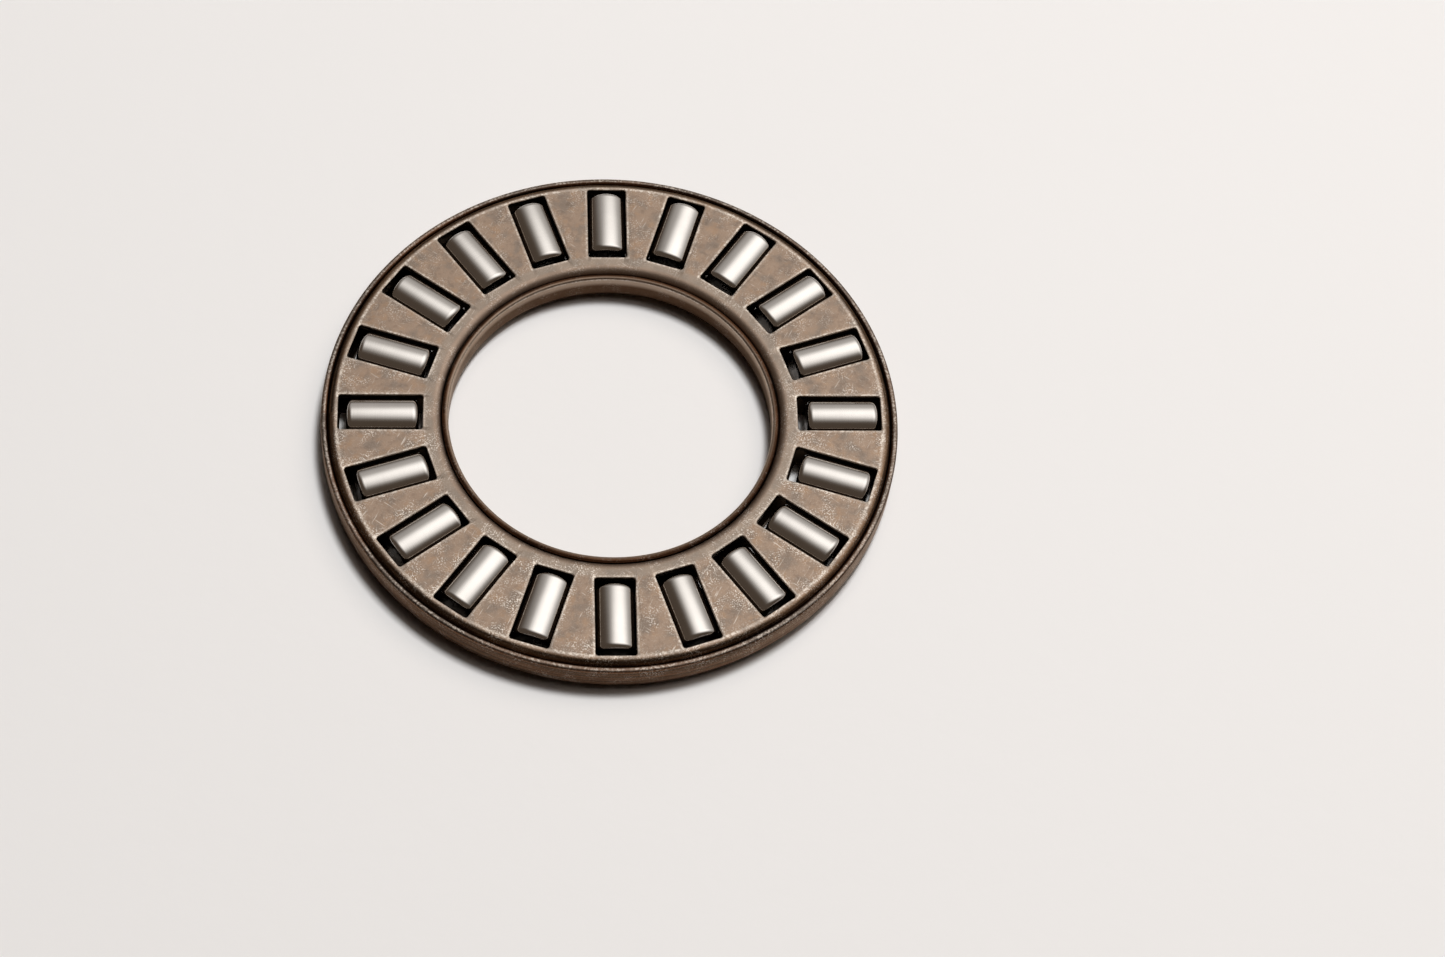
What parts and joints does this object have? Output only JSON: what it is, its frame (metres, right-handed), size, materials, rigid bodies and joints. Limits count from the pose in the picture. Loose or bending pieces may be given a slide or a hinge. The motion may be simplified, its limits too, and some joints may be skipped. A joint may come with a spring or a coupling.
{
  "type": "needle roller thrust cage assembly",
  "caption": "Flat ring-shaped steel cage, two nested pressed shells, holding radial needle rollers that carry axial load between two flat raceways.",
  "frame": {"origin": "on the bearing axis, halfway up the rollers, which is also halfway between the two raceway planes", "axes": "+Z along the bearing axis, out of the face where the upper shell shows inside the lower shell's rims; +X along roller_01, and the rollers count anticlockwise seen from +Z"},
  "size_m": [0.0254, 0.0254, 0.002],
  "materials": {
    "cage_steel": "oxidised satin, brown-grey",
    "roller_steel": "ground and polished"
  },
  "bodies": {
    "cage": {"cage_lower_shell": "cage_steel", "cage_upper_shell": "cage_steel"},
    "roller_01": {"roller_01": "roller_steel"},
    "roller_02": {"roller_02": "roller_steel"},
    "roller_03": {"roller_03": "roller_steel"},
    "roller_04": {"roller_04": "roller_steel"},
    "roller_05": {"roller_05": "roller_steel"},
    "roller_06": {"roller_06": "roller_steel"},
    "roller_07": {"roller_07": "roller_steel"},
    "roller_08": {"roller_08": "roller_steel"},
    "roller_09": {"roller_09": "roller_steel"},
    "roller_10": {"roller_10": "roller_steel"},
    "roller_11": {"roller_11": "roller_steel"},
    "roller_12": {"roller_12": "roller_steel"},
    "roller_13": {"roller_13": "roller_steel"},
    "roller_14": {"roller_14": "roller_steel"},
    "roller_15": {"roller_15": "roller_steel"},
    "roller_16": {"roller_16": "roller_steel"},
    "roller_17": {"roller_17": "roller_steel"},
    "roller_18": {"roller_18": "roller_steel"},
    "roller_19": {"roller_19": "roller_steel"},
    "roller_20": {"roller_20": "roller_steel"}
  },
  "joints": [
    {"name": "roller_01_spin", "type": "hinge", "parent": "cage", "child": "roller_01", "pos_m": [0.01024, 0, 0], "axis": [1, 0, 0], "continuous": true},
    {"name": "roller_02_spin", "type": "hinge", "parent": "cage", "child": "roller_02", "pos_m": [0.00975, 0.00317, 0], "axis": [0.9511, 0.309, 0], "continuous": true},
    {"name": "roller_03_spin", "type": "hinge", "parent": "cage", "child": "roller_03", "pos_m": [0.00829, 0.00602, 0], "axis": [0.809, 0.5878, 0], "continuous": true},
    {"name": "roller_04_spin", "type": "hinge", "parent": "cage", "child": "roller_04", "pos_m": [0.00601, 0.00827, 0], "axis": [0.5878, 0.809, 0], "continuous": true},
    {"name": "roller_05_spin", "type": "hinge", "parent": "cage", "child": "roller_05", "pos_m": [0.00315, 0.0097, 0], "axis": [0.309, 0.9511, 0], "continuous": true},
    {"name": "roller_06_spin", "type": "hinge", "parent": "cage", "child": "roller_06", "pos_m": [0, 0.01017, 0], "axis": [0, 1, 0], "continuous": true},
    {"name": "roller_07_spin", "type": "hinge", "parent": "cage", "child": "roller_07", "pos_m": [-0.00313, 0.00964, 0], "axis": [-0.309, 0.9511, 0], "continuous": true},
    {"name": "roller_08_spin", "type": "hinge", "parent": "cage", "child": "roller_08", "pos_m": [-0.00594, 0.00817, 0], "axis": [-0.5878, 0.809, 0], "continuous": true},
    {"name": "roller_09_spin", "type": "hinge", "parent": "cage", "child": "roller_09", "pos_m": [-0.00814, 0.00592, 0], "axis": [-0.809, 0.5878, 0], "continuous": true},
    {"name": "roller_10_spin", "type": "hinge", "parent": "cage", "child": "roller_10", "pos_m": [-0.00955, 0.0031, 0], "axis": [-0.9511, 0.309, 0], "continuous": true},
    {"name": "roller_11_spin", "type": "hinge", "parent": "cage", "child": "roller_11", "pos_m": [-0.01002, 0, 0], "axis": [-1, 0, 0], "continuous": true},
    {"name": "roller_12_spin", "type": "hinge", "parent": "cage", "child": "roller_12", "pos_m": [-0.00952, -0.00309, 0], "axis": [-0.9511, -0.309, 0], "continuous": true},
    {"name": "roller_13_spin", "type": "hinge", "parent": "cage", "child": "roller_13", "pos_m": [-0.0081, -0.00589, 0], "axis": [-0.809, -0.5878, 0], "continuous": true},
    {"name": "roller_14_spin", "type": "hinge", "parent": "cage", "child": "roller_14", "pos_m": [-0.0059, -0.00812, 0], "axis": [-0.5878, -0.809, 0], "continuous": true},
    {"name": "roller_15_spin", "type": "hinge", "parent": "cage", "child": "roller_15", "pos_m": [-0.00311, -0.00957, 0], "axis": [-0.309, -0.9511, 0], "continuous": true},
    {"name": "roller_16_spin", "type": "hinge", "parent": "cage", "child": "roller_16", "pos_m": [0, -0.01009, 0], "axis": [0, -1, 0], "continuous": true},
    {"name": "roller_17_spin", "type": "hinge", "parent": "cage", "child": "roller_17", "pos_m": [0.00313, -0.00963, 0], "axis": [0.309, -0.9511, 0], "continuous": true},
    {"name": "roller_18_spin", "type": "hinge", "parent": "cage", "child": "roller_18", "pos_m": [0.00597, -0.00822, 0], "axis": [0.5878, -0.809, 0], "continuous": true},
    {"name": "roller_19_spin", "type": "hinge", "parent": "cage", "child": "roller_19", "pos_m": [0.00825, -0.00599, 0], "axis": [0.809, -0.5878, 0], "continuous": true},
    {"name": "roller_20_spin", "type": "hinge", "parent": "cage", "child": "roller_20", "pos_m": [0.00972, -0.00316, 0], "axis": [0.9511, -0.309, 0], "continuous": true}
  ]
}
